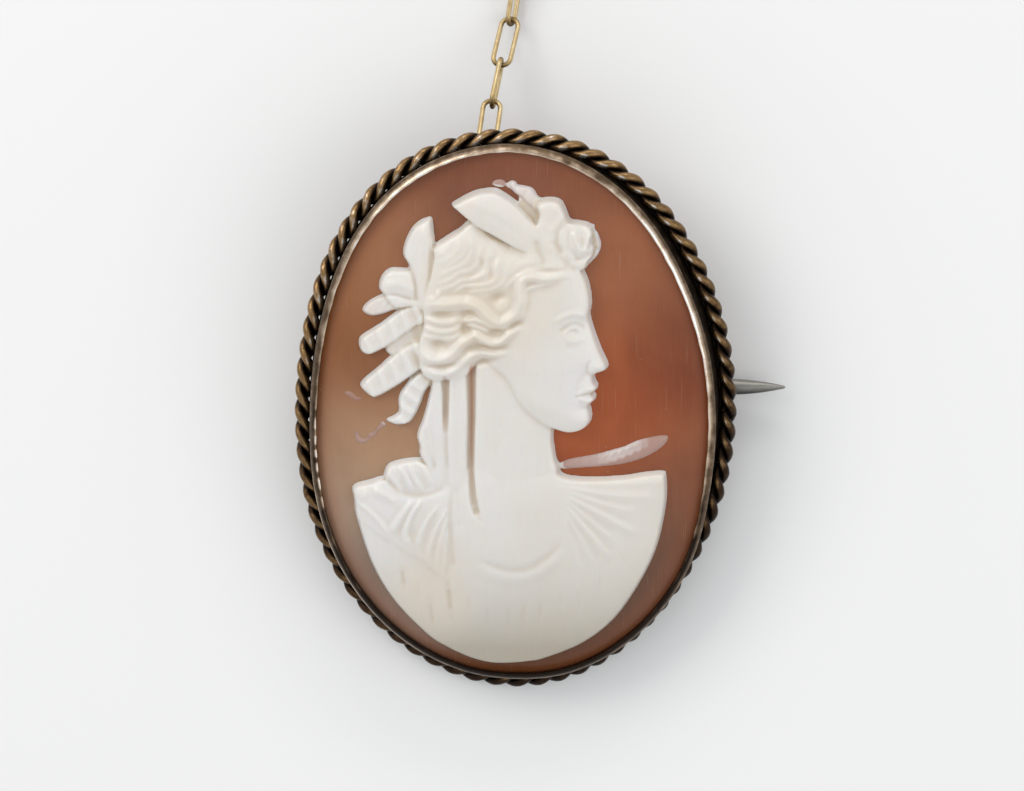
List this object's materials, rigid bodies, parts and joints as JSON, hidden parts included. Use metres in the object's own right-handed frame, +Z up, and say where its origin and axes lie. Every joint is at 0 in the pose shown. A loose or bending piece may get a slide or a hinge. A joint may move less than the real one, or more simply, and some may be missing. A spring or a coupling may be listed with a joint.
{
  "type": "cameo brooch",
  "caption": "Oval carved-shell cameo brooch in a bezel with a rope-twist border, lying face up, with a hinged pin, a catch and a short safety chain.",
  "frame": {"origin": "middle of the bottom face of the whole object's box, on the ground it rests on", "axes": "+Z up out of the ground; +Y along the oval's length towards the top of the carved head and the safety chain; +X towards the pin's tip"},
  "size_m": [0.0302, 0.058, 0.0097],
  "materials": {
    "shell": "polished carved shell",
    "gilt_setting": "worn gilt",
    "gilt_rope": "dark aged gilt",
    "pin_steel": "dull steel",
    "chain_gilt": "pale gilt"
  },
  "bodies": {
    "brooch": {"cameo": "shell", "setting": "gilt_setting", "rope_border": "gilt_rope", "hinge_rivet": "gilt_setting", "link_1": "chain_gilt", "link_2": "chain_gilt", "link_3": "chain_gilt", "link_4": "chain_gilt", "safety_pin": "chain_gilt"},
    "pin": {"pin_stem": "pin_steel"}
  },
  "joints": [
    {"name": "pin_hinge", "type": "hinge", "parent": "brooch", "child": "pin", "pos_m": [-0.01255, -0.01039, 0.00121], "axis": [0, 0.9847, 0.1742], "range_deg": [0, 110]}
  ]
}
